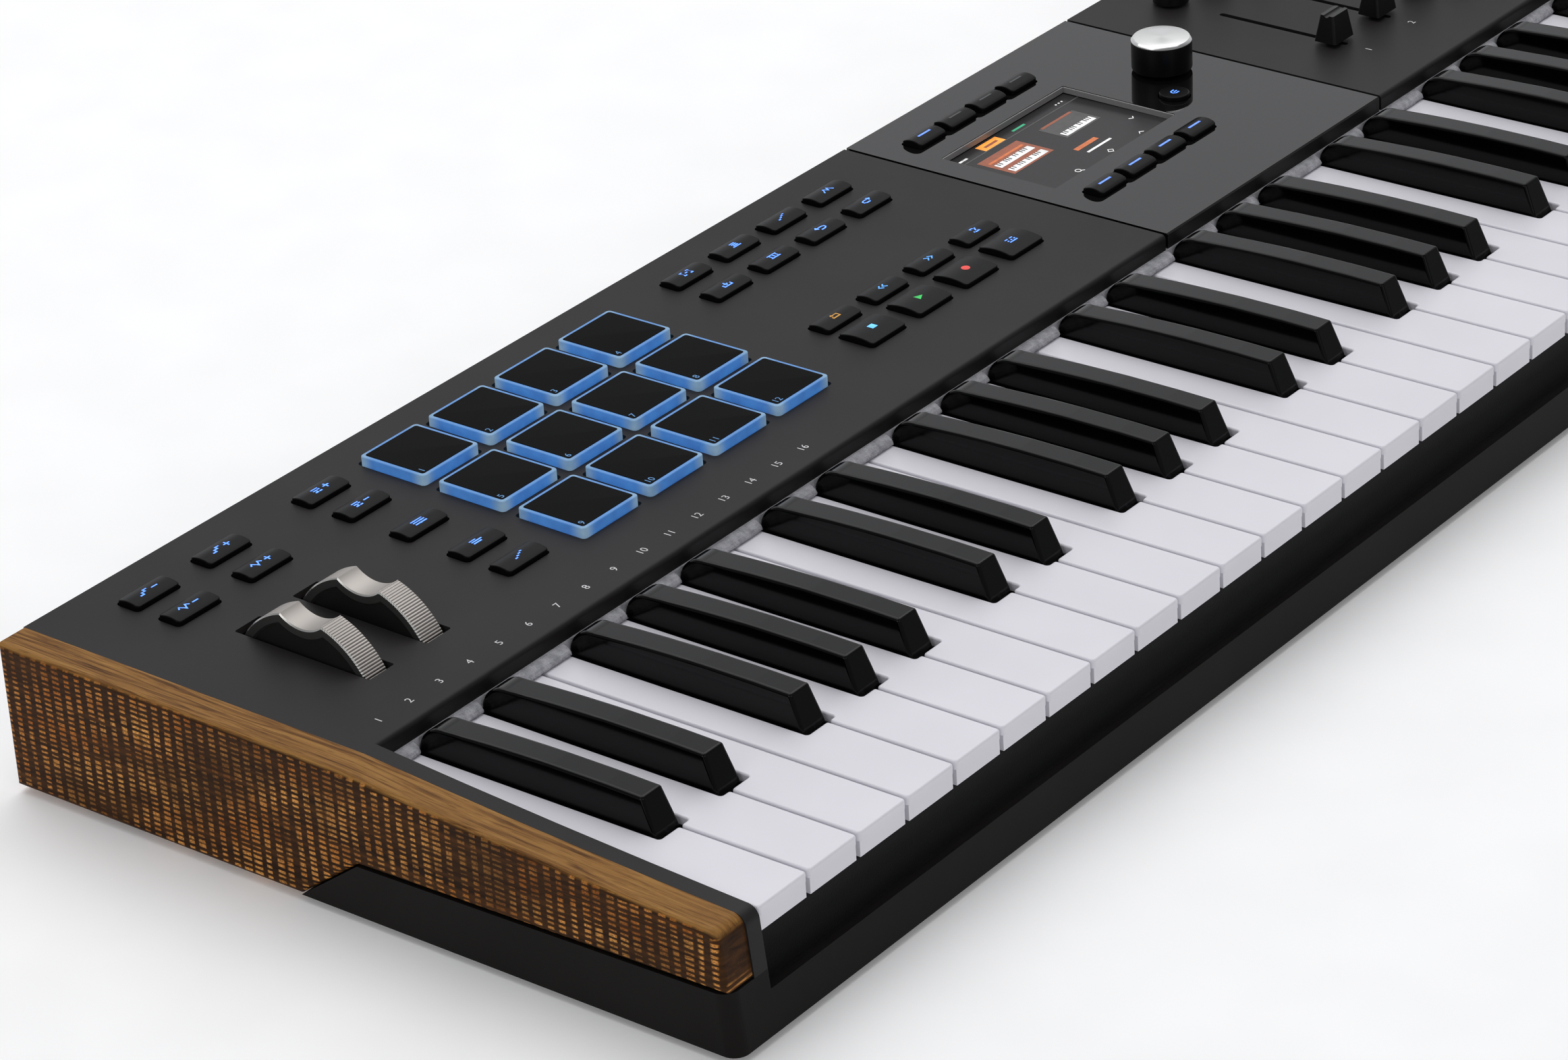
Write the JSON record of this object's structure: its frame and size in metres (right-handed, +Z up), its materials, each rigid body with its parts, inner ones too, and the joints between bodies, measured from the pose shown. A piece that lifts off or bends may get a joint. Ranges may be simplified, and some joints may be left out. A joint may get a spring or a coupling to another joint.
{
  "type": "controller keyboard",
  "caption": "Desktop controller keyboard with full-size keys, finger wheels, pads, faders, knobs, buttons and a small display between wooden end cheeks.",
  "frame": {"origin": "middle of the footprint, on the surface that the feet stand on", "axes": "+X to the player's right along the keys, +Y to the rear, +Z up"},
  "size_m": [0.882, 0.284, 0.0653],
  "materials": {
    "case_plastic": "fine moulded texture",
    "panel_plastic": "fine matt texture",
    "display_gloss": "polished",
    "screen_glass": "polished, lit from behind",
    "walnut": "satin lacquer",
    "white_key": "polished",
    "black_key": "polished",
    "frame_steel": "black coated sheet",
    "rod_steel": "ground",
    "screw_steel": "black oxide",
    "felt": "wool felt",
    "board": "solder mask",
    "socket_plastic": "moulded",
    "track_plastic": "moulded",
    "foot_rubber": "matt",
    "button_rubber": "soft touch",
    "pad_silicone": "translucent silicone",
    "wheel_metal": "satin with fine ribs",
    "knob_plastic": "satin"
  },
  "bodies": {
    "case": {"bottom_case": "case_plastic", "left_panel": "panel_plastic", "right_panel": "panel_plastic", "display_plate": "display_gloss", "display_screen": "screen_glass", "left_cheek": "walnut", "right_cheek": "walnut", "keybed_frame": "frame_steel", "pivot_rod": "rod_steel", "felt_strips": "felt", "circuit_boards": "board", "wheel_bracket": "frame_steel", "rear_sockets": "socket_plastic", "rubber_feet": "foot_rubber", "case_screws": "screw_steel", "fader_tracks": "track_plastic"},
    "c_keys": {"c_keys": "white_key"},
    "c_sharp_keys": {"c_sharp_keys": "black_key"},
    "d_keys": {"d_keys": "white_key"},
    "d_sharp_keys": {"d_sharp_keys": "black_key"},
    "e_keys": {"e_keys": "white_key"},
    "f_keys": {"f_keys": "white_key"},
    "f_sharp_keys": {"f_sharp_keys": "black_key"},
    "g_keys": {"g_keys": "white_key"},
    "g_sharp_keys": {"g_sharp_keys": "black_key"},
    "a_keys": {"a_keys": "white_key"},
    "a_sharp_keys": {"a_sharp_keys": "black_key"},
    "b_keys": {"b_keys": "white_key"},
    "pitch_wheel": {"pitch_wheel": "wheel_metal"},
    "mod_wheel": {"mod_wheel": "wheel_metal"},
    "octave_buttons": {"octave_buttons": "button_rubber"},
    "mode_buttons": {"mode_buttons": "button_rubber"},
    "edit_buttons": {"edit_buttons": "button_rubber"},
    "transport_small_buttons": {"transport_small_buttons": "button_rubber"},
    "transport_large_buttons": {"transport_large_buttons": "button_rubber"},
    "display_buttons": {"display_buttons": "button_rubber"},
    "back_button": {"back_button": "button_rubber"},
    "pads_row_1": {"pads_row_1": "pad_silicone"},
    "pads_row_2": {"pads_row_2": "pad_silicone"},
    "pads_row_3": {"pads_row_3": "pad_silicone"},
    "encoder_1": {"encoder_1": "knob_plastic"},
    "encoder_2": {"encoder_2": "knob_plastic"},
    "encoder_3": {"encoder_3": "knob_plastic"},
    "encoder_4": {"encoder_4": "knob_plastic"},
    "encoder_5": {"encoder_5": "knob_plastic"},
    "encoder_6": {"encoder_6": "knob_plastic"},
    "encoder_7": {"encoder_7": "knob_plastic"},
    "encoder_8": {"encoder_8": "knob_plastic"},
    "encoder_9": {"encoder_9": "knob_plastic"},
    "main_encoder_shaft": {"main_encoder_shaft": "rod_steel"},
    "main_knob": {"main_knob": "knob_plastic"},
    "fader_1": {"fader_1": "knob_plastic"},
    "fader_2": {"fader_2": "knob_plastic"},
    "fader_3": {"fader_3": "knob_plastic"},
    "fader_4": {"fader_4": "knob_plastic"},
    "fader_5": {"fader_5": "knob_plastic"},
    "fader_6": {"fader_6": "knob_plastic"},
    "fader_7": {"fader_7": "knob_plastic"},
    "fader_8": {"fader_8": "knob_plastic"},
    "fader_9": {"fader_9": "knob_plastic"}
  },
  "joints": [
    {"name": "c_keys_press", "type": "hinge", "parent": "case", "child": "c_keys", "pos_m": [0, 0.0145, 0.033], "axis": [1, 0, 0], "range_deg": [0, 3.77], "stiffness_Nm_per_rad": 1.6, "springref_deg": -5.16},
    {"name": "c_sharp_keys_press", "type": "hinge", "parent": "case", "child": "c_sharp_keys", "pos_m": [0, 0.0145, 0.033], "axis": [1, 0, 0], "range_deg": [0, 3.77], "stiffness_Nm_per_rad": 1.6, "springref_deg": -5.16},
    {"name": "d_keys_press", "type": "hinge", "parent": "case", "child": "d_keys", "pos_m": [0, 0.0145, 0.033], "axis": [1, 0, 0], "range_deg": [0, 3.77], "stiffness_Nm_per_rad": 1.6, "springref_deg": -5.16},
    {"name": "d_sharp_keys_press", "type": "hinge", "parent": "case", "child": "d_sharp_keys", "pos_m": [0, 0.0145, 0.033], "axis": [1, 0, 0], "range_deg": [0, 3.77], "stiffness_Nm_per_rad": 1.6, "springref_deg": -5.16},
    {"name": "e_keys_press", "type": "hinge", "parent": "case", "child": "e_keys", "pos_m": [0, 0.0145, 0.033], "axis": [1, 0, 0], "range_deg": [0, 3.77], "stiffness_Nm_per_rad": 1.6, "springref_deg": -5.16},
    {"name": "f_keys_press", "type": "hinge", "parent": "case", "child": "f_keys", "pos_m": [0, 0.0145, 0.033], "axis": [1, 0, 0], "range_deg": [0, 3.77], "stiffness_Nm_per_rad": 1.6, "springref_deg": -5.16},
    {"name": "f_sharp_keys_press", "type": "hinge", "parent": "case", "child": "f_sharp_keys", "pos_m": [0, 0.0145, 0.033], "axis": [1, 0, 0], "range_deg": [0, 3.77], "stiffness_Nm_per_rad": 1.6, "springref_deg": -5.16},
    {"name": "g_keys_press", "type": "hinge", "parent": "case", "child": "g_keys", "pos_m": [0, 0.0145, 0.033], "axis": [1, 0, 0], "range_deg": [0, 3.77], "stiffness_Nm_per_rad": 1.6, "springref_deg": -5.16},
    {"name": "g_sharp_keys_press", "type": "hinge", "parent": "case", "child": "g_sharp_keys", "pos_m": [0, 0.0145, 0.033], "axis": [1, 0, 0], "range_deg": [0, 3.77], "stiffness_Nm_per_rad": 1.6, "springref_deg": -5.16},
    {"name": "a_keys_press", "type": "hinge", "parent": "case", "child": "a_keys", "pos_m": [0, 0.0145, 0.033], "axis": [1, 0, 0], "range_deg": [0, 3.77], "stiffness_Nm_per_rad": 1.6, "springref_deg": -5.16},
    {"name": "a_sharp_keys_press", "type": "hinge", "parent": "case", "child": "a_sharp_keys", "pos_m": [0, 0.0145, 0.033], "axis": [1, 0, 0], "range_deg": [0, 3.77], "stiffness_Nm_per_rad": 1.6, "springref_deg": -5.16},
    {"name": "b_keys_press", "type": "hinge", "parent": "case", "child": "b_keys", "pos_m": [0, 0.0145, 0.033], "axis": [1, 0, 0], "range_deg": [0, 3.77], "stiffness_Nm_per_rad": 1.6, "springref_deg": -5.16},
    {"name": "pitch_wheel_turn", "type": "hinge", "parent": "case", "child": "pitch_wheel", "pos_m": [-0.38985, 0.0575, 0.0355], "axis": [1, 0, 0], "range_deg": [-32, 32], "stiffness_Nm_per_rad": 0.06},
    {"name": "mod_wheel_turn", "type": "hinge", "parent": "case", "child": "mod_wheel", "pos_m": [-0.36365, 0.0575, 0.0355], "axis": [1, 0, 0], "range_deg": [-32, 32]},
    {"name": "octave_buttons_press", "type": "slide", "parent": "case", "child": "octave_buttons", "axis": [0, 0, -1], "range_m": [0, 0.001], "stiffness_N_per_m": 400, "springref_m": -0.001},
    {"name": "mode_buttons_press", "type": "slide", "parent": "case", "child": "mode_buttons", "axis": [0, 0, -1], "range_m": [0, 0.001], "stiffness_N_per_m": 400, "springref_m": -0.001},
    {"name": "edit_buttons_press", "type": "slide", "parent": "case", "child": "edit_buttons", "axis": [0, 0, -1], "range_m": [0, 0.001], "stiffness_N_per_m": 400, "springref_m": -0.001},
    {"name": "transport_small_buttons_press", "type": "slide", "parent": "case", "child": "transport_small_buttons", "axis": [0, 0, -1], "range_m": [0, 0.001], "stiffness_N_per_m": 400, "springref_m": -0.001},
    {"name": "transport_large_buttons_press", "type": "slide", "parent": "case", "child": "transport_large_buttons", "axis": [0, 0, -1], "range_m": [0, 0.001], "stiffness_N_per_m": 400, "springref_m": -0.001},
    {"name": "display_buttons_press", "type": "slide", "parent": "case", "child": "display_buttons", "axis": [0, 0, -1], "range_m": [0, 0.001], "stiffness_N_per_m": 400, "springref_m": -0.001},
    {"name": "back_button_press", "type": "slide", "parent": "case", "child": "back_button", "axis": [0, 0, -1], "range_m": [0, 0.001], "stiffness_N_per_m": 400, "springref_m": -0.001},
    {"name": "pads_row_1_press", "type": "slide", "parent": "case", "child": "pads_row_1", "axis": [0, 0, -1], "range_m": [0, 0.0006], "stiffness_N_per_m": 1500, "springref_m": -0.0006},
    {"name": "pads_row_2_press", "type": "slide", "parent": "case", "child": "pads_row_2", "axis": [0, 0, -1], "range_m": [0, 0.0006], "stiffness_N_per_m": 1500, "springref_m": -0.0006},
    {"name": "pads_row_3_press", "type": "slide", "parent": "case", "child": "pads_row_3", "axis": [0, 0, -1], "range_m": [0, 0.0006], "stiffness_N_per_m": 1500, "springref_m": -0.0006},
    {"name": "encoder_1_turn", "type": "hinge", "parent": "case", "child": "encoder_1", "pos_m": [0.1656, 0.1177, 0.05226], "axis": [0, 0, 1], "continuous": true},
    {"name": "encoder_2_turn", "type": "hinge", "parent": "case", "child": "encoder_2", "pos_m": [0.196, 0.1177, 0.05226], "axis": [0, 0, 1], "continuous": true},
    {"name": "encoder_3_turn", "type": "hinge", "parent": "case", "child": "encoder_3", "pos_m": [0.2264, 0.1177, 0.05226], "axis": [0, 0, 1], "continuous": true},
    {"name": "encoder_4_turn", "type": "hinge", "parent": "case", "child": "encoder_4", "pos_m": [0.2568, 0.1177, 0.05226], "axis": [0, 0, 1], "continuous": true},
    {"name": "encoder_5_turn", "type": "hinge", "parent": "case", "child": "encoder_5", "pos_m": [0.2872, 0.1177, 0.05226], "axis": [0, 0, 1], "continuous": true},
    {"name": "encoder_6_turn", "type": "hinge", "parent": "case", "child": "encoder_6", "pos_m": [0.3176, 0.1177, 0.05226], "axis": [0, 0, 1], "continuous": true},
    {"name": "encoder_7_turn", "type": "hinge", "parent": "case", "child": "encoder_7", "pos_m": [0.348, 0.1177, 0.05226], "axis": [0, 0, 1], "continuous": true},
    {"name": "encoder_8_turn", "type": "hinge", "parent": "case", "child": "encoder_8", "pos_m": [0.3784, 0.1177, 0.05226], "axis": [0, 0, 1], "continuous": true},
    {"name": "encoder_9_turn", "type": "hinge", "parent": "case", "child": "encoder_9", "pos_m": [0.4088, 0.1177, 0.05226], "axis": [0, 0, 1], "continuous": true},
    {"name": "main_encoder_push", "type": "slide", "parent": "case", "child": "main_encoder_shaft", "axis": [0, 0, -1], "range_m": [0, 0.0006], "stiffness_N_per_m": 1500, "springref_m": -0.0006},
    {"name": "main_knob_turn", "type": "hinge", "parent": "main_encoder_shaft", "child": "main_knob", "pos_m": [0.11, 0.0845, 0.05192], "axis": [0, 0, 1], "continuous": true},
    {"name": "fader_1_slide", "type": "slide", "parent": "case", "child": "fader_1", "axis": [0, 1, 0], "range_m": [0, 0.045]},
    {"name": "fader_2_slide", "type": "slide", "parent": "case", "child": "fader_2", "axis": [0, 1, 0], "range_m": [0, 0.045]},
    {"name": "fader_3_slide", "type": "slide", "parent": "case", "child": "fader_3", "axis": [0, 1, 0], "range_m": [0, 0.045]},
    {"name": "fader_4_slide", "type": "slide", "parent": "case", "child": "fader_4", "axis": [0, 1, 0], "range_m": [0, 0.045]},
    {"name": "fader_5_slide", "type": "slide", "parent": "case", "child": "fader_5", "axis": [0, 1, 0], "range_m": [0, 0.045]},
    {"name": "fader_6_slide", "type": "slide", "parent": "case", "child": "fader_6", "axis": [0, 1, 0], "range_m": [0, 0.045]},
    {"name": "fader_7_slide", "type": "slide", "parent": "case", "child": "fader_7", "axis": [0, 1, 0], "range_m": [0, 0.045]},
    {"name": "fader_8_slide", "type": "slide", "parent": "case", "child": "fader_8", "axis": [0, 1, 0], "range_m": [0, 0.045]},
    {"name": "fader_9_slide", "type": "slide", "parent": "case", "child": "fader_9", "axis": [0, 1, 0], "range_m": [0, 0.045]}
  ]
}
